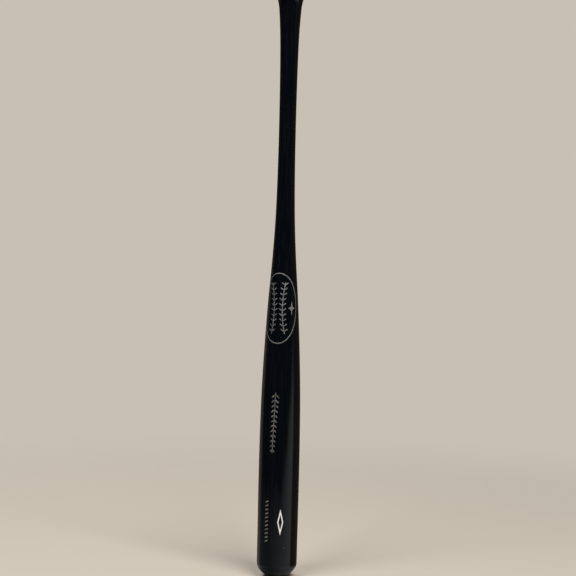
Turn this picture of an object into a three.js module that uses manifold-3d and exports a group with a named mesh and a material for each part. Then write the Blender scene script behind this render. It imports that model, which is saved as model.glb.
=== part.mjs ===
// A turned wooden baseball bat, made from one billet, with its foil and ink marks.
//
// Millimetres, +Z up. The bat stands on the small flat of its barrel end, its axis is the
// Z axis and the knob is at the top. The origin is the centre of that flat. The marks are
// on the side that faces -Y. The marks are plain ornament: none of them is a letter.

import * as THREE from 'three';
import { mergeVertices } from 'three/addons/utils/BufferGeometryUtils.js';
import Module from 'manifold-3d';

const wasm = await Module();
wasm.setup();

// ---------------------------------------------------------------- driving dimensions

const LENGTH = 863.6;            // 34 inches over all

const BARREL_R = 29.5;           // largest radius of the barrel
const END_ROUND = 20.5;          // height of the rounded barrel end
const END_R = 29.1;              // radius where the rounded end begins
const END_FLAT_R = 8.5;          // flat that the bat stands on

const KNOB_R = 25;               // largest radius of the knob
const KNOB_EDGE_R = 7;           // rounding of the knob's rim, on its underside
const KNOB_TOP_DROP = 9.1;       // height of the rounding from the rim to the top flat
const KNOB_TOP_FLAT_R = 16;      // flat on top of the knob
const FLARE_END = -38;           // degrees below the rim's widest point where the flare meets it
const FLARE_START = { dr: 1.1, dz: 12 };   // the way in which the flare leaves the handle
const FLARE_PULL = 5.2;          // how far the flare runs straight before it meets the rim
const KNOB_NECK = { z: 826, r: 16.2 };   // where the handle begins to flare into the knob

// The long outline between the two ends: height, and radius there.
const SHAFT = [
  { z: END_ROUND, r: END_R },
  { z: 75, r: 29.3 },
  { z: 145, r: BARREL_R },
  { z: 210, r: 29.2 },
  { z: 270, r: 28.15 },
  { z: 335, r: 25.6 },
  { z: 400, r: 21.9 },
  { z: 465, r: 17.15 },
  { z: 520, r: 14.25 },
  { z: 580, r: 12.8 },
  { z: 650, r: 12.3 },
  { z: 730, r: 12.75 },
  { z: 790, r: 14 },
  KNOB_NECK,
];

const SIDES = 40;                // facets round the bat
const RING_STEP = 25;            // spacing of the outline's points along the shaft
const ARC_STEPS = 5;             // points along each rounded edge

const FOIL_GAP = 0.1;            // clearance between a mark and the wood
const FOIL_THICKNESS = 0.2;
const TIP_WIDTH = 0.25;          // width of a pointed stroke at its two ends

// Each mark's centre is at a height z and an azimuth, in degrees from -Y towards +X.
const EMBLEM = { z: 390.5, degrees: -17.7, halfWidth: 28.9, halfHeight: 50.4, turn: 1, line: 1.3 };
const SEAM = { offset: 8.2, bow: 4, halfHeight: 37, line: 1.2, stitches: 10, stitch: 4.8, rise: 3.3 };
const SPARK = { offset: 20.4, height: 21, width: 10.4, line: 4.2 };
const SPRIG = { z: 226, degrees: -18, height: 86.5, turn: -2, line: 1 };
const LEAVES = { count: 12, reach: 5.6, rise: 5.4, width: 2.1, taper: 0.35 };
const END_MARK = { z: 84, degrees: 7.4, height: 37.2, width: 7.2, line: 1.7 };
const DASHES = { z: 84.2, degrees: -33, count: 11, pitch: 5.65, reach: 2.4, rise: 1.1, line: 1.6 };

// ---------------------------------------------------------------- outline of the bat

// Radius of the shaft at a height, by a cubic through its stations.
function shaftRadius(z) {
  const last = SHAFT.length - 1;
  let i = 0;
  while (i < last - 1 && z > SHAFT[i + 1].z) i += 1;
  const a = SHAFT[i];
  const b = SHAFT[i + 1];
  const span = b.z - a.z;
  const slope = (k) => {
    const p = SHAFT[Math.max(0, k - 1)];
    const q = SHAFT[Math.min(last, k + 1)];
    return (q.r - p.r) / (q.z - p.z);
  };
  const t = (z - a.z) / span;
  const s = 1 - t;
  return a.r * s * s * (1 + 2 * t) + b.r * t * t * (1 + 2 * s)
    + span * t * s * (slope(i) * s - slope(i + 1) * t);
}

// The rounded barrel end is a quarter of an ellipse, cut off where the flat begins.
function barrelEnd() {
  const flatAngle = Math.asin(END_FLAT_R / END_R);
  const depth = END_ROUND / Math.cos(flatAngle);
  const points = [new THREE.Vector2(0, 0)];
  for (let i = 0; i <= 2 * ARC_STEPS; i += 1) {
    const angle = THREE.MathUtils.lerp(flatAngle, Math.PI / 2, i / (2 * ARC_STEPS));
    points.push(new THREE.Vector2(END_R * Math.sin(angle), END_ROUND - depth * Math.cos(angle)));
  }
  return points;
}

function shaft() {
  const length = KNOB_NECK.z - END_ROUND;
  const count = Math.round(length / RING_STEP);
  const points = [];
  for (let i = 1; i <= count; i += 1) {
    const z = END_ROUND + (length * i) / count;
    points.push(new THREE.Vector2(shaftRadius(z), z));
  }
  return points;
}

// The handle flares into the rim of the knob, which rounds over to a flat top.
function knob() {
  const rimX = KNOB_R - KNOB_EDGE_R;
  const rimZ = LENGTH - KNOB_TOP_DROP;
  const under = THREE.MathUtils.degToRad(FLARE_END);
  const joinX = rimX + KNOB_EDGE_R * Math.cos(under);
  const joinZ = rimZ + KNOB_EDGE_R * Math.sin(under);
  const flare = new THREE.CubicBezierCurve(
    new THREE.Vector2(KNOB_NECK.r, KNOB_NECK.z),
    new THREE.Vector2(KNOB_NECK.r + FLARE_START.dr, KNOB_NECK.z + FLARE_START.dz),
    new THREE.Vector2(joinX + FLARE_PULL * Math.sin(under), joinZ - FLARE_PULL * Math.cos(under)),
    new THREE.Vector2(joinX, joinZ),
  );
  const points = flare.getPoints(ARC_STEPS).slice(1);
  for (let i = 1; i <= ARC_STEPS; i += 1) {
    const angle = under * (1 - i / ARC_STEPS);
    points.push(new THREE.Vector2(rimX + KNOB_EDGE_R * Math.cos(angle),
      rimZ + KNOB_EDGE_R * Math.sin(angle)));
  }
  for (let i = 1; i <= ARC_STEPS; i += 1) {
    const angle = (Math.PI / 2) * (i / ARC_STEPS);
    points.push(new THREE.Vector2(
      KNOB_TOP_FLAT_R + (KNOB_R - KNOB_TOP_FLAT_R) * Math.cos(angle),
      rimZ + KNOB_TOP_DROP * Math.sin(angle),
    ));
  }
  points.push(new THREE.Vector2(0, LENGTH));
  return points;
}

function turnedBody() {
  const outline = [...barrelEnd(), ...shaft(), ...knob()];
  return new THREE.LatheGeometry(outline, SIDES).rotateX(Math.PI / 2);
}

// ---------------------------------------------------------------- marks on the surface

// A mark is drawn flat, x to the right and y up from its own centre, and then wrapped.
function wrap(mark, x, y, lift) {
  const turn = THREE.MathUtils.degToRad(mark.turn ?? 0);
  const across = x * Math.cos(turn) - y * Math.sin(turn);
  const z = mark.z + x * Math.sin(turn) + y * Math.cos(turn);
  const surface = shaftRadius(z);
  const angle = THREE.MathUtils.degToRad(mark.degrees) + across / surface;
  const radius = surface + lift;
  return [radius * Math.sin(angle), -radius * Math.cos(angle), z];
}

// One stroke of foil: a thin band along a path, as a closed solid. path(t) gives its middle
// for t from 0 to 1, and width(t) its width. A closed stroke joins its end to its start.
function stroke(mark, path, width, steps, closed = false) {
  const rings = closed ? steps : steps + 1;
  const positions = [];
  for (let i = 0; i < rings; i += 1) {
    const t = i / steps;
    const here = path(t);
    const ahead = path(closed ? (t + 0.001) % 1 : Math.min(1, t + 0.001));
    const behind = path(closed ? (t + 0.999) % 1 : Math.max(0, t - 0.001));
    const dx = ahead[0] - behind[0];
    const dy = ahead[1] - behind[1];
    const half = width(t) / 2 / Math.hypot(dx, dy);
    for (const [side, lift] of [[1, 0], [-1, 0], [-1, 1], [1, 1]]) {
      positions.push(...wrap(mark, here[0] + side * dy * half, here[1] - side * dx * half,
        FOIL_GAP + lift * FOIL_THICKNESS));
    }
  }
  const faces = [];
  const quad = (a, b, c, d) => faces.push(a, b, c, a, c, d);
  for (let i = 0; i < (closed ? rings : rings - 1); i += 1) {
    const j = (i + 1) % rings;
    for (let k = 0; k < 4; k += 1) {
      const m = (k + 1) % 4;
      quad(4 * i + k, 4 * i + m, 4 * j + m, 4 * j + k);
    }
  }
  if (!closed) {
    const e = 4 * (rings - 1);
    quad(3, 2, 1, 0);
    quad(e, e + 1, e + 2, e + 3);
  }
  const geometry = new THREE.BufferGeometry();
  geometry.setAttribute('position', new THREE.Float32BufferAttribute(positions, 3));
  geometry.setIndex(faces);
  return geometry;
}

const even = (size) => () => size;
const pointed = (size) => (t) => TIP_WIDTH + (size - TIP_WIDTH) * Math.sin(Math.PI * t);
const straight = (from, to) => (t) => [
  THREE.MathUtils.lerp(from[0], to[0], t),
  THREE.MathUtils.lerp(from[1], to[1], t),
];

function toSolid(geometry) {
  const merged = mergeVertices(geometry, 1e-4);
  const mesh = new wasm.Mesh({
    numProp: 3,
    vertProperties: new Float32Array(merged.getAttribute('position').array),
    triVerts: new Uint32Array(merged.getIndex().array),
  });
  return new wasm.Manifold(mesh);
}

// Joins strokes that cross into one solid.
function joined(strokes) {
  const mesh = strokes.map(toSolid).reduce((sum, next) => sum.add(next)).getMesh();
  const geometry = new THREE.BufferGeometry();
  geometry.setAttribute('position', new THREE.BufferAttribute(mesh.vertProperties, 3));
  geometry.setIndex(new THREE.BufferAttribute(mesh.triVerts, 1));
  return geometry;
}

// The oval line round the emblem.
function ovalLine() {
  const path = (t) => [
    EMBLEM.halfWidth * Math.cos(2 * Math.PI * t),
    EMBLEM.halfHeight * Math.sin(2 * Math.PI * t),
  ];
  return stroke(EMBLEM, path, even(EMBLEM.line), 72, true);
}

// A ball's seam: a bowed line crossed by V stitches. side is 1 on the right, -1 on the left.
function seam(side) {
  const curve = (t) => {
    const up = 2 * t - 1;
    return [side * (SEAM.offset + SEAM.bow * (up * up - 0.5)), SEAM.halfHeight * up];
  };
  const strokes = [stroke(EMBLEM, curve, even(SEAM.line), 18)];
  for (let i = 0; i < SEAM.stitches; i += 1) {
    const [x, y] = curve((i + 0.5) / SEAM.stitches);
    const chevron = (t) => [x + SEAM.stitch * (2 * t - 1), y + SEAM.rise * Math.abs(2 * t - 1)];
    strokes.push(stroke(EMBLEM, chevron, even(SEAM.line), 4));
  }
  return joined(strokes);
}

// A four-pointed spark beside the seams.
function spark() {
  const { offset, height, width, line } = SPARK;
  return joined([
    stroke(EMBLEM, straight([offset, -height / 2], [offset, height / 2]), pointed(line), 6),
    stroke(EMBLEM, straight([offset - width / 2, 0], [offset + width / 2, 0]), pointed(line), 6),
  ]);
}

// A sprig that points down: a stem with pairs of leaves, smaller towards its tip.
function sprig() {
  const { height, line } = SPRIG;
  const strokes = [
    stroke(SPRIG, straight([0, height / 2], [0, -height / 2]), even(line), 12),
  ];
  for (let i = 0; i < LEAVES.count; i += 1) {
    const y = height * (0.5 - (i + 0.3) / LEAVES.count);
    const size = 1 - LEAVES.taper * (i / LEAVES.count);
    for (const hand of [1, -1]) {
      const tip = [hand * size * LEAVES.reach, y - size * LEAVES.rise];
      strokes.push(stroke(SPRIG, straight([0, y], tip), pointed(size * LEAVES.width), 3));
    }
  }
  return joined(strokes);
}

// The outline of a slim diamond.
function endMark() {
  const { height, width, line } = END_MARK;
  const corners = [[0, -height / 2], [width / 2, 0], [0, height / 2], [-width / 2, 0]];
  return joined(corners.map((corner, i) => (
    stroke(END_MARK, straight(corner, corners[(i + 1) % 4]), even(line), 4)
  )));
}

// One of a column of short slanted dashes.
function dash(index) {
  const { count, pitch, reach, rise, line } = DASHES;
  const middle = pitch * (index - (count - 1) / 2);
  return stroke(DASHES, straight([-reach, middle - rise], [reach, middle + rise]), even(line), 2);
}

// ---------------------------------------------------------------- assembly

const lacqueredWood = new THREE.MeshStandardMaterial({ color: 0x0b0e14, roughness: 0.22 });
const silverFoil = new THREE.MeshStandardMaterial({ color: 0xb9b8b4, roughness: 0.4, metalness: 0.8 });
const paleFoil = new THREE.MeshStandardMaterial({ color: 0xa9a295, roughness: 0.45, metalness: 0.6 });
const whiteInk = new THREE.MeshStandardMaterial({ color: 0xebebe6, roughness: 0.5 });
const dullInk = new THREE.MeshStandardMaterial({ color: 0x6e6962, roughness: 0.55 });

const bat = new THREE.Group();

function addPiece(name, geometry, material) {
  const mesh = new THREE.Mesh(geometry, material);
  mesh.name = name;
  bat.add(mesh);
}

addPiece('bat_body', turnedBody(), lacqueredWood);
addPiece('emblem_oval', ovalLine(), silverFoil);
addPiece('emblem_seam_left', seam(-1), silverFoil);
addPiece('emblem_seam_right', seam(1), silverFoil);
addPiece('emblem_spark', spark(), silverFoil);
addPiece('barrel_sprig', sprig(), paleFoil);
addPiece('end_diamond', endMark(), whiteInk);
for (let i = 0; i < DASHES.count; i += 1) {
  addPiece(`end_dash_${i + 1}`, dash(i), dullInk);
}

export default bat;
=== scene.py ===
# A turned wooden baseball bat in black lacquer, with foil and ink marks on its barrel.
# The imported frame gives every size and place. This file gives the fine surfaces, the
# finishes and the studio. Metres, +Z up: barrel end on the floor, marks facing -Y.

import math

import bpy
from mathutils import Matrix, Vector


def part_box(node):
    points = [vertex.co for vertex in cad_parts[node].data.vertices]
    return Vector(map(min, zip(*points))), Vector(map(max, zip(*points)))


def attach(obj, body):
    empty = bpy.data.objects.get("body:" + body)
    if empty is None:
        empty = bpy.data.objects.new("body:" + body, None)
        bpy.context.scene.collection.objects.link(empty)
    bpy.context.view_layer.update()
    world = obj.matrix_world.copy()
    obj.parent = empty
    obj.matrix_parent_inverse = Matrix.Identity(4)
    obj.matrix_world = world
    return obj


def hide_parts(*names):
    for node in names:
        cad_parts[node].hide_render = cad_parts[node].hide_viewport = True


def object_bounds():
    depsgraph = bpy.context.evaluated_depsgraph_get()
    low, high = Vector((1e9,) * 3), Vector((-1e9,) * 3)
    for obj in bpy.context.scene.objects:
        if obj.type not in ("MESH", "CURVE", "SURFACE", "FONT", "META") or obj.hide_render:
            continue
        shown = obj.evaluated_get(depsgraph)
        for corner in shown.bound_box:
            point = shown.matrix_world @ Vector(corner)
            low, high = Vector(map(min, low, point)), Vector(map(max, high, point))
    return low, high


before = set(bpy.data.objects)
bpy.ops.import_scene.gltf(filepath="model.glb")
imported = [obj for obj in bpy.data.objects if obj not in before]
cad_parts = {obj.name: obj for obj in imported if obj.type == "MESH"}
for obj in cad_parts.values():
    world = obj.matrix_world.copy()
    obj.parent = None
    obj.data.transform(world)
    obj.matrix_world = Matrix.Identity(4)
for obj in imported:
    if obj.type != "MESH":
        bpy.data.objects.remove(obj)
CAD_LOW, CAD_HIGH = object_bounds()

bl_info = {
    "name": "Lacquered Baseball Bat",
    "version": (1, 0, 0),
    "blender": (4, 5, 0),
    "location": "View3D > Sidebar > Bat",
    "description": "Builds a one-piece lacquered wooden bat with foil and ink marks",
    "category": "Object",
}

MM = 0.001


# ---------------------------------------------------------------- reading the frame

def turned_outline():
    """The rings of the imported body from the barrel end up, as (radius, height) points."""
    axis_radius = 0.1 * MM
    same_ring = 0.01 * MM
    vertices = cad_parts["bat_body"].data.vertices
    rings = sorted((v.co.z, math.hypot(v.co.x, v.co.y)) for v in vertices)
    outline = []
    for height, radius in rings:
        here = Vector((radius, height))
        if radius > axis_radius and (not outline or (here - outline[-1]).length > same_ring):
            outline.append(here)
    return outline


def smoothed(points, steps):
    """A smooth curve through the points, with so many steps from one to the next."""
    chords = [(b - a).length for a, b in zip(points, points[1:])]
    inner = [
        (points[i + 1] - points[i - 1]) / (chords[i - 1] + chords[i])
        for i in range(1, len(chords))
    ]
    first = 2 * (points[1] - points[0]) / chords[0] - inner[0]
    last = 2 * (points[-1] - points[-2]) / chords[-1] - inner[-1]
    tangents = [first, *inner, last]
    smooth = []
    for i, chord in enumerate(chords):
        for step in range(steps):
            t = step / steps
            s = 1 - t
            smooth.append(
                points[i] * (s * s * (1 + 2 * t))
                + points[i + 1] * (t * t * (1 + 2 * s))
                + (tangents[i] * s - tangents[i + 1] * t) * (chord * t * s)
            )
    return [*smooth, points[-1]]


def mark_height(node):
    """The height of a mark's middle."""
    low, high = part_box(node)
    return (low.z + high.z) / 2


def mark_azimuth(node):
    """The middle of a mark round the bat, as an angle from -Y towards +X."""
    outward = Vector((0, 0))
    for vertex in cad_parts[node].data.vertices:
        outward += Vector((vertex.co.x, -vertex.co.y)).normalized()
    return math.atan2(outward.x, outward.y)


def mark_length(node):
    """How far a mark reaches along the bat."""
    low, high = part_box(node)
    return high.z - low.z


DASH_NODES = sorted(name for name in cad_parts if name.startswith("end_dash_"))


def dash_column():
    """The height of the dashes' middle, and the pitch from one to the next."""
    heights = sorted(mark_height(name) for name in DASH_NODES)
    return (heights[0] + heights[-1]) / 2, (heights[-1] - heights[0]) / (len(heights) - 1)


# ---------------------------------------------------------------- sizes and colours

def length(name, description, default):
    return bpy.props.FloatProperty(
        name=name, description=description, default=default, unit="LENGTH", precision=5
    )


def angle(name, description, degrees):
    return bpy.props.FloatProperty(
        name=name, description=description, default=math.radians(degrees), subtype="ANGLE"
    )


def colour(name, description, default):
    return bpy.props.FloatVectorProperty(
        name=name, description=description, default=default, subtype="COLOR",
        size=3, min=0, max=1,
    )


def share(name, description, default):
    return bpy.props.FloatProperty(
        name=name, description=description, default=default, min=0, max=1, subtype="FACTOR"
    )


class BatBodySettings(bpy.types.PropertyGroup):
    """The turned and lacquered wood."""

    sides: bpy.props.IntProperty(
        name="Sides", description="Faces round the bat", default=160, min=24, max=256
    )
    ring_steps: bpy.props.IntProperty(
        name="Ring steps", description="Rings between two rings of the frame", default=6, min=1
    )
    lacquer: colour("Lacquer", "Colour of the wood under the gloss", (0.0012, 0.0016, 0.0022))
    grain: colour("Grain", "Colour where the grain shows through", (0.005, 0.0054, 0.006))
    coat_roughness: share("Coat roughness", "Blur of the clear gloss coat", 0.045)
    ring_spacing: length("Ring spacing", "Distance between growth rings", 2.4 * MM)
    pith: bpy.props.FloatVectorProperty(
        name="Pith", description="Where the heart of the tree lay", unit="LENGTH",
        default=(0.085, 0.034, 0.0), size=3,
    )
    scuff: colour("Scuff", "Colour of the rubbed spot near the barrel end", (0.034, 0.033, 0.031))
    scuff_height: length("Scuff height", "Height of the rubbed spot", 47.3 * MM)
    scuff_azimuth: angle("Scuff azimuth", "Where the rubbed spot is, from -Y towards +X", 19.5)
    scuff_reach: length("Scuff reach", "Half the width of the rubbed spot", 2.9 * MM)


class BatMarkSettings(bpy.types.PropertyGroup):
    """The foil and ink marks."""

    film: length("Film", "How far a mark stands above the wood", 0.04 * MM)
    sink: length("Sink", "How far a mark reaches into the lacquer", 0.06 * MM)
    silver: colour("Silver foil", "Colour of the emblem", (0.41, 0.405, 0.385))
    champagne: colour("Pale foil", "Colour of the sprig", (0.34, 0.32, 0.28))
    white: colour("White ink", "Colour of the end mark", (0.93, 0.93, 0.9))
    dull: colour("Dull ink", "Colour of the dashes", (0.23, 0.215, 0.185))
    oval_width: length("Oval width", "Width of the oval round the bat", 57.8 * MM)
    oval_line: length("Oval line", "Width of the oval's line", 1.3 * MM)
    emblem_turn: angle("Emblem turn", "Lean of the emblem's top to the left", 1)
    seam_offset: length("Seam offset", "Distance of a seam from the emblem's middle", 8.2 * MM)
    seam_bow: length("Seam bow", "How far a seam bows", 4 * MM)
    seam_line: length("Seam line", "Width of a seam's strokes", 1.2 * MM)
    stitch_reach: length("Stitch reach", "How far a stitch goes sideways", 4.8 * MM)
    stitch_rise: length("Stitch rise", "How far a stitch goes up", 3.3 * MM)
    stitches: bpy.props.IntProperty(
        name="Stitches", description="Pairs of stitches on a seam", default=10, min=1
    )
    spark_offset: length("Spark offset", "Distance of the spark from the middle", 20.4 * MM)
    spark_width: length("Spark width", "Width of the spark", 10.4 * MM)
    sprig_turn: angle("Sprig turn", "Lean of the sprig's top to the left", -2)
    sprig_line: length("Sprig line", "Width of the sprig's stem", 1 * MM)
    leaves: bpy.props.IntProperty(
        name="Leaves", description="Pairs of leaves on the sprig", default=12, min=1
    )
    leaf_reach: length("Leaf reach", "How far a leaf goes sideways", 5.6 * MM)
    leaf_drop: length("Leaf drop", "How far a leaf goes down", 5.4 * MM)
    leaf_width: length("Leaf width", "Widest part of a leaf", 2.1 * MM)
    leaf_taper: share("Leaf taper", "How much smaller the last leaves are", 0.35)
    diamond_width: length("Diamond width", "Width of the end mark", 8.8 * MM)
    diamond_line: length("Diamond line", "Width of the end mark's strokes", 1.7 * MM)
    dash_reach: length("Dash reach", "Half the width of a dash", 2.4 * MM)
    dash_rise: length("Dash rise", "Half the slant of a dash", 1.1 * MM)
    dash_line: length("Dash line", "Thickness of a dash", 1.6 * MM)


class BatStageSettings(bpy.types.PropertyGroup):
    """The floor, the light and the camera."""

    backdrop: colour("Backdrop", "Colour behind the bat", (0.578, 0.527, 0.456))
    floor: colour("Floor", "Colour of the floor", (0.5, 0.46, 0.4))
    distance: length("Distance", "From the camera to the bat's axis", 1.6)
    frame_height: length("Frame height", "Height of the view at the bat", 0.8403)
    camera_height: length("Camera height", "Height of the camera", 0.4199)
    camera_side: length("Camera side", "How far the camera stands to the right", 6.6 * MM)
    roll: angle("Roll", "Lean of the bat's top to the right in the view", 1.424)


# ---------------------------------------------------------------- node trees

class Nodes:
    """Adds nodes to a tree. A value that is a socket is linked, any other is set."""

    def __init__(self, tree):
        self.tree = tree

    def node(self, kind, inputs=None, **settings):
        node = self.tree.nodes.new(kind)
        for name, value in settings.items():
            setattr(node, name, value)
        for name, value in (inputs or {}).items():
            socket = name if isinstance(name, int) else next(
                i for i, s in enumerate(node.inputs) if s.enabled and s.name == name
            )
            if isinstance(value, bpy.types.NodeSocket):
                self.tree.links.new(value, node.inputs[socket])
            else:
                node.inputs[socket].default_value = value
        return node

    def out(self, kind, inputs=None, output=None, **settings):
        """Adds a node and returns its named output, or its first one in use."""
        node = self.node(kind, inputs, **settings)
        return next(s for s in node.outputs if s.enabled and output in (None, s.name))

    def math(self, operation, *values):
        return self.out("ShaderNodeMath", dict(enumerate(values)), operation=operation)

    def vector(self, operation, *values):
        return self.out("ShaderNodeVectorMath", dict(enumerate(values)), operation=operation)

    def scaled(self, vector, factor):
        return self.out("ShaderNodeVectorMath", {0: vector, 3: factor}, operation="SCALE")

    def split(self, vector):
        return self.node("ShaderNodeSeparateXYZ", {0: vector}).outputs

    def combine(self, x=0.0, y=0.0, z=0.0):
        return self.out("ShaderNodeCombineXYZ", {0: x, 1: y, 2: z})

    def ramp(self, value, start, end, low=0.0, high=1.0, smooth=True):
        """Runs from low to high as value goes from start to end."""
        return self.out(
            "ShaderNodeMapRange",
            {"Value": value, "From Min": start, "From Max": end, "To Min": low, "To Max": high},
            interpolation_type="SMOOTHSTEP" if smooth else "LINEAR",
        )

    def noise(self, vector, scale, detail=2.0, roughness=0.5):
        return self.out(
            "ShaderNodeTexNoise",
            {"Vector": vector, "Scale": scale, "Detail": detail, "Roughness": roughness},
        )

    def mixed(self, factor, a, b):
        """Blends two colours."""
        return self.out(
            "ShaderNodeMix", {"Factor": factor, "A": a, "B": b}, data_type="RGBA"
        )


SOCKETS = {
    "geometry": "NodeSocketGeometry",
    "float": "NodeSocketFloat",
    "int": "NodeSocketInt",
    "object": "NodeSocketObject",
    "material": "NodeSocketMaterial",
}


class ShapeTree(Nodes):
    """A Geometry Nodes tree with named inputs and one geometry as its output."""

    def __init__(self, name, **inputs):
        super().__init__(bpy.data.node_groups.new(name, "GeometryNodeTree"))
        for label, kind in {"Geometry": "geometry", **inputs}.items():
            self.tree.interface.new_socket(
                label.replace("_", " "), in_out="INPUT", socket_type=SOCKETS[kind]
            )
        self.tree.interface.new_socket(
            "Geometry", in_out="OUTPUT", socket_type=SOCKETS["geometry"]
        )
        self.entry = self.tree.nodes.new("NodeGroupInput")

    def given(self, label):
        return self.entry.outputs[label]

    def joined(self, *parts):
        node = self.tree.nodes.new("GeometryNodeJoinGeometry")
        for part in parts:
            self.tree.links.new(part, node.inputs[0])
        return node.outputs[0]

    def position(self):
        return self.out("GeometryNodeInputPosition")

    def placed(self, geometry, position):
        return self.out("GeometryNodeSetPosition", {"Geometry": geometry, "Position": position})

    def finish(self, geometry):
        self.node("NodeGroupOutput", {0: geometry})
        return self.tree

    def finish_piece(self, geometry):
        """Ends a piece's tree: real geometry, smooth faces with crisp edges, its material."""
        crisp_angle = math.radians(30)
        real = self.out("GeometryNodeRealizeInstances", {0: geometry})
        smooth = self.out("GeometryNodeSetShadeSmooth", {"Geometry": real})
        bend = self.out("GeometryNodeInputMeshEdgeAngle")
        crisp = self.out("GeometryNodeSetShadeSmooth", {
            "Geometry": smooth, "Selection": self.math("GREATER_THAN", bend, crisp_angle),
            "Shade Smooth": False,
        }, domain="EDGE")
        painted = self.out(
            "GeometryNodeSetMaterial", {"Geometry": crisp, "Material": self.given("Material")}
        )
        return self.finish(painted)


def run_tree(name, tree, mesh=None, **values):
    """Runs a tree on a mesh and keeps the result as a plain mesh object."""
    maker = bpy.data.objects.new(name + "_maker", mesh or bpy.data.meshes.new(name))
    bpy.context.scene.collection.objects.link(maker)
    modifier = maker.modifiers.new("Make", "NODES")
    modifier.node_group = tree
    for item in tree.interface.items_tree:
        label = item.name.replace(" ", "_")
        if item.in_out == "INPUT" and label in values:
            modifier[item.identifier] = values[label]
    graph = bpy.context.evaluated_depsgraph_get()
    result = bpy.data.meshes.new_from_object(maker.evaluated_get(graph), depsgraph=graph)
    bpy.data.objects.remove(maker)
    result.name = name
    piece = bpy.data.objects.new(name, result)
    bpy.context.scene.collection.objects.link(piece)
    return piece


def lathe_tree():
    """Turns an outline, radius along X and height along Z, into a closed body."""
    t = ShapeTree("Turned Body", Sides="int", Material="material")
    rings = t.out("GeometryNodeAttributeDomainSize", {0: t.given("Geometry")})
    columns = t.math("ADD", t.given("Sides"), 1)
    grid = t.out("GeometryNodeMeshGrid", {"Vertices X": rings, "Vertices Y": columns})
    index = t.out("GeometryNodeInputIndex")
    ring = t.math("FLOOR", t.math("DIVIDE", index, columns))
    column = t.math("SUBTRACT", index, t.math("MULTIPLY", ring, columns))
    outline = t.out(
        "GeometryNodeSampleIndex",
        {"Geometry": t.given("Geometry"), "Value": t.position(), "Index": ring},
        data_type="FLOAT_VECTOR",
    )
    turn = t.math("MULTIPLY", t.math("DIVIDE", column, t.given("Sides")), 2 * math.pi)
    radius, _, height = t.split(outline)
    body = t.placed(grid, t.combine(
        t.math("MULTIPLY", radius, t.math("COSINE", turn)),
        t.math("MULTIPLY", radius, t.math("SINE", turn)),
        height,
    ))
    weld = 0.002 * MM
    closed = t.out("GeometryNodeMergeByDistance", {0: body, "Distance": weld})
    return t.finish_piece(t.out("GeometryNodeFlipFaces", {0: closed}))


WRAP_NAME = "Wrap On Bat"
WRAP_INPUTS = {
    "Bat": "object", "Height": "float", "Azimuth": "float", "Turn": "float",
    "Film": "float", "Sink": "float",
}
# Flat strokes are drawn this deep about z = 0. The wrap reads only which side a point is on.
DRAWN_DEPTH = 1 * MM


def wrap_tree():
    """Bends flat strokes round the bat: x runs round it, y up it, and z says inside or out."""
    t = ShapeTree(WRAP_NAME, **WRAP_INPUTS)
    bat = t.out(
        "GeometryNodeObjectInfo", {"Object": t.given("Bat")}, "Geometry",
        transform_space="ORIGINAL",
    )
    x, y, z = t.split(t.position())
    cosine = t.math("COSINE", t.given("Turn"))
    sine = t.math("SINE", t.given("Turn"))
    across = t.math("SUBTRACT", t.math("MULTIPLY", x, cosine), t.math("MULTIPLY", y, sine))
    up = t.math("ADD", t.math("MULTIPLY", x, sine), t.math("MULTIPLY", y, cosine))
    on_axis = t.combine(z=t.math("ADD", t.given("Height"), up))
    radius = t.out(
        "GeometryNodeRaycast",
        {"Target Geometry": bat, "Source Position": on_axis, "Ray Direction": (0, -1, 0)},
        "Hit Distance",
    )
    bearing = t.math("ADD", t.given("Azimuth"), t.math("DIVIDE", across, radius))
    outward = t.combine(
        t.math("SINE", bearing), t.math("MULTIPLY", t.math("COSINE", bearing), -1)
    )
    surface = t.out(
        "GeometryNodeRaycast",
        {"Target Geometry": bat, "Source Position": on_axis, "Ray Direction": outward},
        "Hit Position",
    )
    outside = t.math("GREATER_THAN", z, 0)
    sunk = t.math("MULTIPLY", t.given("Sink"), -1)
    lift = t.ramp(outside, start=0, end=1, low=sunk, high=t.given("Film"), smooth=False)
    return t.finish(t.placed(
        t.given("Geometry"), t.vector("ADD", surface, t.scaled(outward, lift))
    ))


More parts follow.
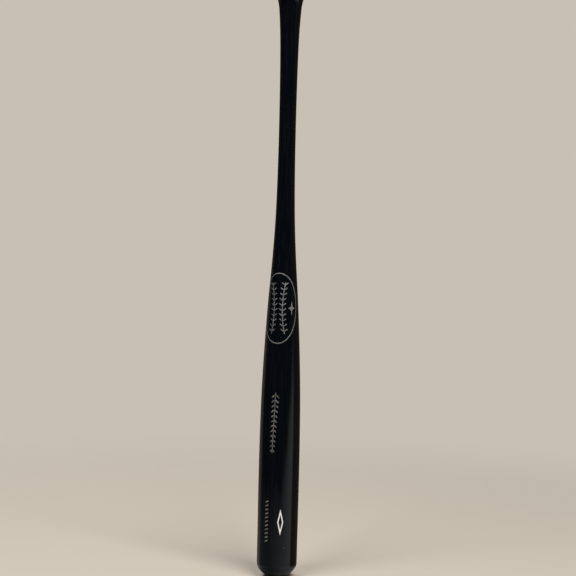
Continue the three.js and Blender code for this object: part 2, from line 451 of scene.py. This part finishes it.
class MarkTree(ShapeTree):
    """A tree that draws flat strokes about the origin and wraps them on the bat."""

    def __init__(self, name, **inputs):
        super().__init__(name, **WRAP_INPUTS, Line="float", Material="material", **inputs)

    def line(self, start, end, points):
        """A straight curve of evenly spaced points."""
        curve = self.out("GeometryNodeCurvePrimitiveLine", {"Start": start, "End": end})
        return self.out("GeometryNodeResampleCurve", {"Curve": curve, "Count": points})

    def along(self):
        """How far along its curve a point is, from 0 to 1."""
        return self.out("GeometryNodeSplineParameter", output="Factor")

    def repeated(self, points, instance, **inputs):
        """A copy of the instance at each point."""
        placed = self.out(
            "GeometryNodeInstanceOnPoints", {"Points": points, "Instance": instance, **inputs}
        )
        return self.out("GeometryNodeRealizeInstances", {0: placed})

    def stroked(self, curve, width, scale=1.0):
        """Gives a flat curve its width, as a thin closed band with z on both sides of zero."""
        upright = self.out("GeometryNodeSetCurveNormal", {0: curve}, mode="Z_UP")
        section = self.out(
            "GeometryNodeCurvePrimitiveQuadrilateral", {"Width": width, "Height": DRAWN_DEPTH}
        )
        return self.out("GeometryNodeCurveToMesh", {
            "Curve": upright, "Profile Curve": section, "Scale": scale, "Fill Caps": True,
        })

    def stamped(self, outline, offset=0.0):
        """Fills a flat outline, as a thin closed plate with z on both sides of zero."""
        weld = 0.001 * MM
        face = self.out("GeometryNodeFillCurve", {"Curve": outline})
        fine = self.out("GeometryNodeSubdivideMesh", {"Mesh": face, "Level": 2})
        bottom = self.out("GeometryNodeTransform", {
            "Geometry": fine, "Translation": self.combine(offset, 0.0, -DRAWN_DEPTH / 2),
        })
        top = self.out("GeometryNodeExtrudeMesh", {
            "Mesh": bottom, "Offset": (0, 0, 1), "Offset Scale": DRAWN_DEPTH,
            "Individual": False,
        })
        shell = self.joined(top, self.out("GeometryNodeFlipFaces", {0: bottom}))
        return self.out("GeometryNodeMergeByDistance", {0: shell, "Distance": weld})

    def finish_mark(self, strokes):
        """Ends a mark's tree: its strokes wrapped on the bat."""
        wrap = bpy.data.node_groups.get(WRAP_NAME) or wrap_tree()
        wrapped = self.node("GeometryNodeGroup", node_tree=wrap)
        self.tree.links.new(strokes, wrapped.inputs["Geometry"])
        for label in WRAP_INPUTS:
            self.tree.links.new(self.given(label), wrapped.inputs[label])
        return self.finish_piece(wrapped.outputs[0])


def oval_tree():
    """The line of an upright oval."""
    t = MarkTree("Oval Line", Width="float", Length="float")
    circle = t.out("GeometryNodeCurvePrimitiveCircle", {"Resolution": 180, "Radius": 0.5})
    oval = t.out("GeometryNodeTransform", {
        "Geometry": circle, "Scale": t.combine(t.given("Width"), t.given("Length"), 1.0),
    })
    return t.finish_mark(t.stroked(oval, t.given("Line")))


def seam_tree():
    """A ball's seam: a bowed line, with a pair of slanted stitches beside each of its steps."""
    t = MarkTree(
        "Ball Seam", Side="float", Offset="float", Bow="float", Length="float",
        Reach="float", Rise="float", Stitches="int",
    )
    stitch_start = 0.22

    def bowed(curve):
        """Lays a curve that runs from y = -1 to 1 along the seam."""
        _, up, _ = t.split(t.position())
        bend = t.math("SUBTRACT", t.math("MULTIPLY", up, up), 0.5)
        bow = t.math("MULTIPLY", t.given("Bow"), bend)
        sideways = t.math("MULTIPLY", t.given("Side"), t.math("ADD", t.given("Offset"), bow))
        half = t.math("MULTIPLY", t.given("Length"), 0.5)
        return t.placed(curve, t.combine(sideways, t.math("MULTIPLY", half, up)))

    margin = t.math("DIVIDE", 1, t.given("Stitches"))
    steps = bowed(t.line(
        t.combine(y=t.math("SUBTRACT", margin, 1)),
        t.combine(y=t.math("SUBTRACT", 1, margin)),
        t.given("Stitches"),
    ))
    seam = bowed(t.line((0, -1, 0), (0, 1, 0), points=65))
    strokes = [t.stroked(seam, t.given("Line"))]
    for hand in (1, -1):
        reach = t.math("MULTIPLY", t.given("Reach"), hand)
        tip = t.combine(reach, t.given("Rise"))
        stitch = t.line(t.scaled(tip, stitch_start), tip, points=7)
        strokes.append(t.stroked(t.repeated(steps, stitch), t.given("Line")))
    return t.finish_mark(t.joined(*strokes))


def spark_tree():
    """A filled four-pointed spark."""
    t = MarkTree("Spark", Offset="float", Width="float", Length="float")
    waist = 0.17
    star = t.out(
        "GeometryNodeCurveStar",
        {"Points": 4, "Inner Radius": waist, "Outer Radius": 0.5, "Twist": 0.0}, "Curve",
    )
    edge = t.out("GeometryNodeSubdivideCurve", {"Curve": star, "Cuts": 5})
    outline = t.out("GeometryNodeTransform", {
        "Geometry": edge, "Scale": t.combine(t.given("Width"), t.given("Length"), 1.0),
    })
    return t.finish_mark(t.stamped(outline, t.given("Offset")))


def sprig_tree():
    """A stem that points down, with pairs of leaves that get smaller towards its tip."""
    t = MarkTree(
        "Sprig", Length="float", Leaves="int", Reach="float", Drop="float",
        Leaf_Width="float", Taper="float",
    )
    top_margin, tip_margin = 0.3, 0.7
    leaf_start, leaf_tip_width = 0.14, 0.08
    half = t.math("MULTIPLY", t.given("Length"), 0.5)
    low = t.math("MULTIPLY", half, -1)
    stem = t.line(t.combine(y=half), t.combine(y=low), points=61)
    pitch = t.math("DIVIDE", t.given("Length"), t.given("Leaves"))
    first = t.math("SUBTRACT", half, t.math("MULTIPLY", pitch, top_margin))
    last = t.math("ADD", low, t.math("MULTIPLY", pitch, tip_margin))
    joints = t.line(t.combine(y=first), t.combine(y=last), t.given("Leaves"))
    smallest = t.math("SUBTRACT", 1, t.given("Taper"))
    size = t.ramp(t.along(), start=0, end=1, low=1, high=smallest, smooth=False)
    strokes = [t.stroked(stem, t.given("Line"))]
    for hand in (1, -1):
        tip = t.combine(
            t.math("MULTIPLY", t.given("Reach"), hand), t.math("MULTIPLY", t.given("Drop"), -1)
        )
        leaf = t.line(t.scaled(tip, leaf_start), tip, points=13)
        leaves = t.repeated(joints, leaf, Scale=t.combine(size, size, 1.0))
        bulge = t.math("SINE", t.math("MULTIPLY", t.along(), math.pi))
        _, up, _ = t.split(t.position())
        shrink = t.ramp(up, first, last, low=1, high=smallest, smooth=False)
        fullness = t.math("MULTIPLY", t.math("MAXIMUM", bulge, leaf_tip_width), shrink)
        strokes.append(t.stroked(leaves, t.given("Leaf Width"), fullness))
    return t.finish_mark(t.joined(*strokes))


def diamond_tree():
    """The outline of a slim diamond, with its four corners mitred."""
    t = MarkTree("Slim Diamond", Width="float", Length="float")
    half_width = t.math("MULTIPLY", t.given("Width"), 0.5)
    half_length = t.math("MULTIPLY", t.given("Length"), 0.5)
    kite = t.out("GeometryNodeCurvePrimitiveQuadrilateral", {
        "Width": t.given("Width"), "Bottom Height": half_length, "Top Height": half_length,
    }, mode="KITE")
    outer = t.out("GeometryNodeSubdivideCurve", {"Curve": kite, "Cuts": 15})
    side = t.vector("LENGTH", t.combine(half_width, half_length))
    depth = t.math("DIVIDE", t.math("MULTIPLY", half_width, half_length), side)
    inside = t.math("SUBTRACT", 1, t.math("DIVIDE", t.given("Line"), depth))
    inner = t.out("GeometryNodeTransform", {
        "Geometry": outer, "Scale": t.combine(inside, inside, 1.0),
    })
    return t.finish_mark(t.stamped(t.joined(outer, inner)))


def dashes_tree():
    """A column of short slanted dashes."""
    t = MarkTree("Dash Column", Pitch="float", Count="int", Reach="float", Rise="float")
    half_gaps = t.math("MULTIPLY", t.math("SUBTRACT", t.given("Count"), 1), 0.5)
    half = t.math("MULTIPLY", t.given("Pitch"), half_gaps)
    low = t.math("MULTIPLY", half, -1)
    column = t.line(t.combine(y=low), t.combine(y=half), t.given("Count"))
    tip = t.combine(t.given("Reach"), t.given("Rise"))
    dash = t.line(t.scaled(tip, -1), tip, points=7)
    return t.finish_mark(t.stroked(t.repeated(column, dash), t.given("Line")))


# ---------------------------------------------------------------- finishes

def new_material(name):
    """A material with an empty tree, and the means to add nodes to it."""
    material = bpy.data.materials.new(name)
    material.use_nodes = True
    material.node_tree.nodes.clear()
    return material, Nodes(material.node_tree)


def surface(n, inputs):
    """Adds the surface shader with these inputs."""
    shader = n.node("ShaderNodeBsdfPrincipled", inputs)
    n.node("ShaderNodeOutputMaterial", {"Surface": shader.outputs[0]})


def rgba(values):
    return (*values, 1.0)


def shaded(values, factor):
    """A darker tone of a colour."""
    return rgba(tuple(factor * channel for channel in values))


def on_piece(n):
    return n.out("ShaderNodeTexCoord", output="Object")


def stretched(n, along):
    """Object coordinates, drawn out along the bat where along is under 1."""
    return n.vector("MULTIPLY", on_piece(n), (1.0, 1.0, along))


def bump(n, height, distance):
    return n.out("ShaderNodeBump", {"Height": height, "Distance": distance, "Strength": 1.0})


def growth_rings(n, body):
    """0 where a year's growth begins, up to 1 in its late wood, in rings about the pith."""
    wander_reach, late_sharpness = 3.2 * MM, 2.5
    wander = n.noise(stretched(n, 0.12), scale=24, detail=3)
    x, y, _ = n.split(n.vector("SUBTRACT", on_piece(n), tuple(body.pith)))
    from_pith = n.math("SQRT", n.math("ADD", n.math("MULTIPLY", x, x), n.math("MULTIPLY", y, y)))
    drift = n.math("MULTIPLY", n.math("SUBTRACT", wander, 0.5), wander_reach)
    years = n.math("DIVIDE", n.math("ADD", from_pith, drift), body.ring_spacing)
    return n.math("POWER", n.math("FRACT", years), late_sharpness)


def scuff_mask(n, body):
    """1 in the middle of the small rubbed spot, with a ragged edge."""
    squash, ragged_share = 1.6, 0.5
    across, forward = math.sin(body.scuff_azimuth), -math.cos(body.scuff_azimuth)
    spot = Vector((CAD_HIGH.x * across, CAD_HIGH.x * forward, body.scuff_height))
    place = on_piece(n)
    offset = n.vector("MULTIPLY", n.vector("SUBTRACT", place, tuple(spot)), (1, 1, squash))
    ragged = n.math("MULTIPLY", n.noise(place, scale=1400), ragged_share * body.scuff_reach)
    away = n.math("ADD", n.vector("LENGTH", offset), ragged)
    return n.ramp(away, start=1.2 * body.scuff_reach, end=0.4 * body.scuff_reach)


def lacquer_material(body):
    """Stained wood under a clear gloss coat: growth rings and pores telegraph through."""
    wood_relief, coat_relief, telegraph = 0.03 * MM, 0.05 * MM, 0.3
    material, n = new_material("black_lacquer")
    late_wood = growth_rings(n, body)
    early_wood = n.math("SUBTRACT", 1, late_wood)
    pore = n.noise(stretched(n, 0.045), scale=1300)
    open_pores = n.math("MULTIPLY", n.ramp(pore, start=0.54, end=0.64), early_wood)
    streak = n.noise(stretched(n, 0.035), scale=420, detail=4, roughness=0.6)
    shows = n.math("MULTIPLY", n.ramp(streak, start=0.42, end=0.72), early_wood)
    wood = n.mixed(shows, rgba(body.lacquer), rgba(body.grain))
    relief = n.math("SUBTRACT", n.math("MULTIPLY", late_wood, 0.5), open_pores)
    uneven = n.noise(stretched(n, 0.3), scale=38, detail=1)
    coat_height = n.math("ADD", uneven, n.math("MULTIPLY", relief, telegraph))
    dust = n.noise(on_piece(n), scale=900)
    surface(n, {
        "Base Color": n.mixed(scuff_mask(n, body), wood, rgba(body.scuff)),
        "Roughness": n.ramp(dust, start=0.35, end=0.7, low=0.3, high=0.42),
        "Normal": bump(n, relief, wood_relief),
        "Specular IOR Level": 0.0,
        "Coat Weight": 1.0,
        "Coat Roughness": body.coat_roughness,
        "Coat IOR": 1.5,
        "Coat Normal": bump(n, coat_height, coat_relief),
    })
    return material


def foil_material(name, tone, metallic, roughness, lacquer):
    """Hot-stamped film, worn through to the lacquer along the grain in specks."""
    smoothest, roughest = roughness - 0.08, roughness + 0.1
    material, n = new_material(name)
    grain = n.noise(stretched(n, 0.2), scale=900, detail=3, roughness=0.65)
    patch = n.noise(on_piece(n), scale=160)
    wear = n.math("ADD", grain, n.math("MULTIPLY", patch, 0.6))
    worn = n.ramp(wear, start=0.86, end=1.0)
    film = n.mixed(n.ramp(patch, start=0.3, end=0.7), rgba(tone), shaded(tone, 0.72))
    surface(n, {
        "Base Color": n.mixed(worn, film, rgba(lacquer)),
        "Metallic": n.ramp(worn, start=0, end=1, low=metallic, high=0.0),
        "Roughness": n.ramp(grain, start=0.3, end=0.7, low=smoothest, high=roughest),
        "Normal": bump(n, grain, 0.02 * MM),
        "Specular IOR Level": 0.5,
    })
    return material


def ink_material(name, tone, wear):
    """Printed ink: dense, with fine mottling and a few pinholes."""
    material, n = new_material(name)
    dim = shaded(tone, 0.55)
    mottle = n.noise(on_piece(n), scale=700, detail=3)
    pinholes = n.ramp(n.noise(stretched(n, 0.25), scale=1500), start=0.66, end=0.78)
    thin = n.math("MULTIPLY", n.ramp(mottle, start=0.3, end=0.75), wear)
    pale = n.mixed(thin, rgba(tone), dim)
    surface(n, {
        "Base Color": n.mixed(n.math("MULTIPLY", pinholes, wear), pale, dim),
        "Roughness": n.ramp(mottle, start=0.3, end=0.7, low=0.34, high=0.5),
        "Normal": bump(n, mottle, 0.015 * MM),
        "Coat Weight": 0.4,
        "Coat Roughness": 0.2,
    })
    return material


# ---------------------------------------------------------------- pieces

def adopt(piece, slot, *nodes):
    """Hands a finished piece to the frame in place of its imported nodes."""
    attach(piece, "root")
    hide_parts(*nodes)


def require_body():
    """The turned body, which every mark is wrapped on."""
    body = bpy.data.objects.get("bat_turned_body")
    if body is None:
        raise RuntimeError("make the turned body first: the marks are wrapped on it")
    return body


def make_mark(name, tree, slot, nodes, material, height, azimuth, line, turn=0.0, **values):
    """Draws one mark on the bat."""
    marks = bpy.context.scene.bat_marks
    piece = run_tree(
        name, tree, Bat=require_body(), Height=height, Azimuth=azimuth, Turn=turn,
        Film=marks.film, Sink=marks.sink, Line=line, Material=material, **values
    )
    adopt(piece, slot, *nodes)


class BAT_OT_turned_body(bpy.types.Operator):
    """Turn the one-piece body from the frame's outline and lacquer it"""

    bl_idname = "bat.turned_body"
    bl_label = "Turned Body"

    def execute(self, context):
        body = context.scene.bat_body
        outline = smoothed(turned_outline(), body.ring_steps)
        outline = [Vector((0, outline[0].y)), *outline, Vector((0, outline[-1].y))]
        widest, top = CAD_HIGH.x, CAD_HIGH.z
        mesh = bpy.data.meshes.new("outline")
        points = [(min(r, widest), 0, min(max(z, 0.0), top)) for r, z in outline]
        mesh.from_pydata(points, [], [])
        piece = run_tree(
            "bat_turned_body", lathe_tree(), mesh, Sides=body.sides,
            Material=lacquer_material(body),
        )
        adopt(piece, "lacquered_wood", "bat_body")
        return {"FINISHED"}


class BAT_OT_emblem(bpy.types.Operator):
    """Stamp the silver emblem: an oval line, two stitched seams and a spark"""

    bl_idname = "bat.emblem"
    bl_label = "Emblem"

    def execute(self, context):
        marks = context.scene.bat_marks
        lacquer = context.scene.bat_body.lacquer
        foil = foil_material("silver_foil", marks.silver, 0.7, 0.42, lacquer)
        place = {
            "slot": "silver_foil", "material": foil, "turn": marks.emblem_turn,
            "height": mark_height("emblem_oval"), "azimuth": mark_azimuth("emblem_oval"),
        }
        make_mark(
            "emblem_oval_foil", oval_tree(), nodes=["emblem_oval"], line=marks.oval_line,
            Width=marks.oval_width, Length=mark_length("emblem_oval") - marks.oval_line, **place
        )
        seam = seam_tree()
        for side, word in ((-1.0, "left"), (1.0, "right")):
            node = "emblem_seam_" + word
            make_mark(
                node + "_foil", seam, nodes=[node], line=marks.seam_line, Side=side,
                Offset=marks.seam_offset, Bow=marks.seam_bow, Length=mark_length(node),
                Reach=marks.stitch_reach, Rise=marks.stitch_rise, Stitches=marks.stitches,
                **place
            )
        make_mark(
            "emblem_spark_foil", spark_tree(), nodes=["emblem_spark"], line=0.0,
            Offset=marks.spark_offset, Width=marks.spark_width,
            Length=mark_length("emblem_spark"), **place
        )
        return {"FINISHED"}


class BAT_OT_sprig(bpy.types.Operator):
    """Stamp the pale sprig half way down the barrel"""

    bl_idname = "bat.sprig"
    bl_label = "Sprig"

    def execute(self, context):
        marks = context.scene.bat_marks
        lacquer = context.scene.bat_body.lacquer
        node = "barrel_sprig"
        make_mark(
            "barrel_sprig_foil", sprig_tree(), "pale_foil", [node],
            foil_material("pale_foil", marks.champagne, 0.55, 0.45, lacquer),
            mark_height(node), mark_azimuth(node), marks.sprig_line, marks.sprig_turn,
            Length=mark_length(node), Leaves=marks.leaves, Reach=marks.leaf_reach,
            Drop=marks.leaf_drop, Leaf_Width=marks.leaf_width, Taper=marks.leaf_taper,
        )
        return {"FINISHED"}


class BAT_OT_end_marks(bpy.types.Operator):
    """Print the white diamond and the column of dull dashes near the barrel end"""

    bl_idname = "bat.end_marks"
    bl_label = "End Marks"

    def execute(self, context):
        marks = context.scene.bat_marks
        node = "end_diamond"
        make_mark(
            "end_diamond_ink", diamond_tree(), "white_ink", [node],
            ink_material("white_ink", marks.white, 0.25),
            mark_height(node), mark_azimuth(node), marks.diamond_line,
            Width=marks.diamond_width, Length=mark_length(node),
        )
        middle, pitch = dash_column()
        make_mark(
            "end_dashes_ink", dashes_tree(), "dull_ink", DASH_NODES,
            ink_material("dull_ink", marks.dull, 0.8),
            middle, mark_azimuth(DASH_NODES[0]), marks.dash_line,
            Pitch=pitch, Count=len(DASH_NODES), Reach=marks.dash_reach, Rise=marks.dash_rise,
        )
        return {"FINISHED"}


# ---------------------------------------------------------------- stage

FLOOR_REACH = 4.0
LAMP_TINT = (1.0, 0.97, 0.93)
WINDOW_TINT = (1.0, 1.02, 1.0)
WALL_TINT = (1.15, 1.0, 0.86)
CORNER_TINT = (0.042, 0.028, 0.012)
ROOM_AHEAD = (0.014, 0.026, 0.05, 1)
ROOM_BEHIND = (0.024, 0.022, 0.02, 1)
# The floor's tone for the gloss alone: painted darker than the floor, a painted shadow in its
# reflection.
MIRRORED_FLOOR_PAINTED_DARK = (0.44, 0.45, 0.45)


def make_floor(stage):
    """A pale floor that fades into the backdrop, so that no horizon shows.

    The gloss sees only a small patch of it under the bat, painted in a darker neutral tone with a
    painted shadow on the left.
    """
    r = FLOOR_REACH
    mesh = bpy.data.meshes.new("floor")
    mesh.from_pydata([(-r, -r, 0), (r, -r, 0), (r, r, 0), (-r, r, 0)], [], [(0, 1, 2, 3)])
    material, n = new_material("studio_floor")
    place = on_piece(n)
    away = n.vector("LENGTH", place)
    gloss = n.out("ShaderNodeLightPath", output="Is Glossy Ray")
    past_patch = n.math("MULTIPLY", gloss, n.ramp(away, start=0.03, end=0.06))
    fade = n.math("MAXIMUM", n.ramp(away, start=0.35, end=1.6), past_patch)
    # Painted shadow: the floor the gloss sees is painted darker towards the left of the bat.
    painted_shade = n.ramp(n.split(place)[0], start=-0.024, end=0.03, low=0.22, high=0.95)
    tone = n.mixed(gloss, rgba(stage.floor), n.scaled(MIRRORED_FLOOR_PAINTED_DARK, painted_shade))
    lit = n.node("ShaderNodeBsdfDiffuse", {"Color": tone})
    clear = n.node("ShaderNodeBsdfTransparent")
    both = n.node("ShaderNodeMixShader", {0: fade, 1: lit.outputs[0], 2: clear.outputs[0]})
    n.node("ShaderNodeOutputMaterial", {"Surface": both.outputs[0]})
    mesh.materials.append(material)
    floor = bpy.data.objects.new("floor", mesh)
    bpy.context.scene.collection.objects.link(floor)


# The room that the gloss mirrors. Angles are in degrees: a bearing of 0 looks to -Y and of 90
# to +X, and a rise of 0 is level.

def band(n, bearing, start, full, fade, end):
    """1 from full to fade, with soft edges out to start and end."""
    return n.math("MULTIPLY", n.ramp(bearing, start, full), n.ramp(bearing, end, fade))


def window_light(n, bearing, rise):
    """A broad window in front on the right, wide and bright at its foot, narrow and dim above."""
    foot = n.ramp(rise, start=-11.5, end=-7.5, low=-6, high=33, smooth=False)
    lean = n.ramp(rise, start=-7.5, end=1, low=0, high=24, smooth=False)
    full = n.ramp(rise, start=-6.2, end=-2.5, low=68, high=98, smooth=False)
    pane = band(n, bearing, start=n.math("ADD", foot, lean), full=full, fade=80, end=86)
    return n.math("MULTIPLY", pane, n.ramp(rise, start=-3, end=3.5, low=0.45, high=0.06))


def ground_light(n, bearing, rise):
    """The lit ground in front, brighter to the right and nearly gone past it."""
    below = n.ramp(rise, start=-9.5, end=-14.5)
    slope = n.ramp(bearing, start=-45, end=75, low=0.1, high=0.45, smooth=False)
    ahead = n.ramp(bearing, start=87, end=78, low=0.06)
    return n.math("MULTIPLY", n.math("MULTIPLY", below, slope), ahead)


def low_glow(n, bearing, rise):
    """Pale ground close by, brightest in front on the right and behind on the left."""
    brightest = 55
    turn = n.math("MULTIPLY", n.math("SUBTRACT", bearing, brightest), math.pi / 180)
    swing = n.math("COSINE", turn)
    lobe = n.ramp(n.math("MULTIPLY", swing, swing), 0, 1, low=0.06, high=0.5, smooth=False)
    glow = n.math("MULTIPLY", n.ramp(rise, start=-15.5, end=-24), lobe)
    behind = n.ramp(bearing, start=-100, end=-60, low=0.6)
    steep = n.ramp(rise, start=-55, end=-36, low=0.6)
    return n.math("MULTIPLY", glow, n.math("MULTIPLY", behind, steep))


def back_strip(n, bearing, rise):
    """A narrow strip on the ground behind."""
    strip = band(n, bearing, start=148, full=154, fade=171, end=177)
    return n.math("MULTIPLY", strip, n.ramp(rise, start=-15, end=-25, low=0, high=0.7))


def wall_light(n, bearing, rise):
    """A lit wall behind on the left, dimmer higher up."""
    wall = band(n, bearing, start=-158, full=-147, fade=-120, end=-113)
    return n.math("MULTIPLY", wall, n.ramp(rise, start=9, end=0, low=0.02, high=0.14))


def make_world(stage):
    """A pale backdrop to the eye, and a dim room with a few soft lights for the gloss."""
    world = bpy.data.worlds.new("studio")
    world.use_nodes = True
    world.node_tree.nodes.clear()
    n = Nodes(world.node_tree)
    degrees = 180 / math.pi
    x, y, z = n.split(n.out("ShaderNodeTexCoord", output="Generated"))
    bearing = n.math("MULTIPLY", n.math("ARCTAN2", x, n.math("MULTIPLY", y, -1)), degrees)
    rise = n.math("MULTIPLY", n.math("ARCSINE", z), degrees)

    front = window_light(n, bearing, rise)
    for light in (ground_light, low_glow, back_strip):
        front = n.math("MAXIMUM", front, light(n, bearing, rise))
    round_to_back = n.ramp(n.math("ABSOLUTE", bearing), start=70, end=115)
    room = n.mixed(round_to_back, ROOM_AHEAD, ROOM_BEHIND)
    corner = band(n, bearing, start=60, full=95, fade=140, end=165)
    lights = n.vector("ADD", n.scaled(WINDOW_TINT, front), room)
    lights = n.vector("ADD", lights, n.scaled(WALL_TINT, wall_light(n, bearing, rise)))
    lights = n.vector("ADD", lights, n.scaled(CORNER_TINT, corner))

    eye = n.out("ShaderNodeLightPath", output="Is Camera Ray")
    seen = n.node("ShaderNodeBackground", {"Color": rgba(stage.backdrop), "Strength": 1.0})
    felt = n.node("ShaderNodeBackground", {"Color": lights, "Strength": 1.0})
    both = n.node("ShaderNodeMixShader", {0: eye, 1: felt.outputs[0], 2: seen.outputs[0]})
    n.node("ShaderNodeOutputWorld", {"Surface": both.outputs[0]})
    bpy.context.scene.world = world


def make_light(name, place, width, height, power):
    """A soft rectangular lamp that points at the middle of the bat."""
    data = bpy.data.lights.new(name, "AREA")
    data.shape = "RECTANGLE"
    data.size = width
    data.size_y = height
    data.energy = power
    data.color = LAMP_TINT
    light = bpy.data.objects.new(name, data)
    light.location = place
    aim = Vector((0, 0, CAD_HIGH.z / 2)) - Vector(place)
    light.rotation_euler = aim.to_track_quat("-Z", "Y").to_euler()
    bpy.context.scene.collection.objects.link(light)


def make_camera(stage):
    """A camera that looks level along +Y, rolled so that the bat leans in its view."""
    data = bpy.data.cameras.new("camera")
    data.sensor_width = 36.0
    data.lens = data.sensor_width * stage.distance / stage.frame_height
    data.clip_start = 0.05
    data.clip_end = 60
    camera = bpy.data.objects.new("camera", data)
    lean = stage.roll
    right = Vector((math.cos(lean), 0, math.sin(lean)))
    up = Vector((-math.sin(lean), 0, math.cos(lean)))
    back = Vector((0, -1, 0))
    turn = Matrix((right, up, back)).transposed().to_4x4()
    place = Vector((stage.camera_side, -stage.distance, stage.camera_height))
    camera.matrix_world = Matrix.Translation(place) @ turn
    bpy.context.scene.collection.objects.link(camera)
    bpy.context.scene.camera = camera


class BAT_OT_stage(bpy.types.Operator):
    """Set out the floor, the soft light and the camera"""

    bl_idname = "bat.stage"
    bl_label = "Stage"

    def execute(self, context):
        stage = context.scene.bat_stage
        make_floor(stage)
        make_world(stage)
        make_light("overhead_right", (0.9, -1.5, 2.3), width=1.4, height=0.9, power=62)
        make_light("overhead_left", (-1.2, -1.3, 2.3), width=1.2, height=0.9, power=36)
        make_light("overhead_back", (-0.9, 1.6, 2.4), width=1.6, height=1.0, power=45)
        make_camera(stage)
        context.scene.view_settings.view_transform = "Standard"
        return {"FINISHED"}


# ---------------------------------------------------------------- add-on

OPERATORS = (
    BAT_OT_turned_body, BAT_OT_emblem, BAT_OT_sprig, BAT_OT_end_marks, BAT_OT_stage,
)
GROUPS = {
    "bat_body": BatBodySettings,
    "bat_marks": BatMarkSettings,
    "bat_stage": BatStageSettings,
}


class BAT_PT_panel(bpy.types.Panel):
    """The bat's pieces, in the order in which they are made"""

    bl_label = "Lacquered Bat"
    bl_idname = "BAT_PT_panel"
    bl_space_type = "VIEW_3D"
    bl_region_type = "UI"
    bl_category = "Bat"

    def draw(self, context):
        for operator in OPERATORS:
            self.layout.operator(operator.bl_idname)
        for name, group in GROUPS.items():
            box = self.layout.box()
            for setting in group.__annotations__:
                box.prop(getattr(context.scene, name), setting)


def register():
    for cls in (*GROUPS.values(), *OPERATORS, BAT_PT_panel):
        bpy.utils.register_class(cls)
    for name, group in GROUPS.items():
        setattr(bpy.types.Scene, name, bpy.props.PointerProperty(type=group))


def unregister():
    for name in GROUPS:
        delattr(bpy.types.Scene, name)
    for cls in (BAT_PT_panel, *reversed(OPERATORS), *GROUPS.values()):
        bpy.utils.unregister_class(cls)


def main():
    register()
    bpy.ops.bat.turned_body()
    bpy.ops.bat.emblem()
    bpy.ops.bat.sprig()
    bpy.ops.bat.end_marks()
    bpy.ops.bat.stage()


if __name__ == "__main__":
    main()
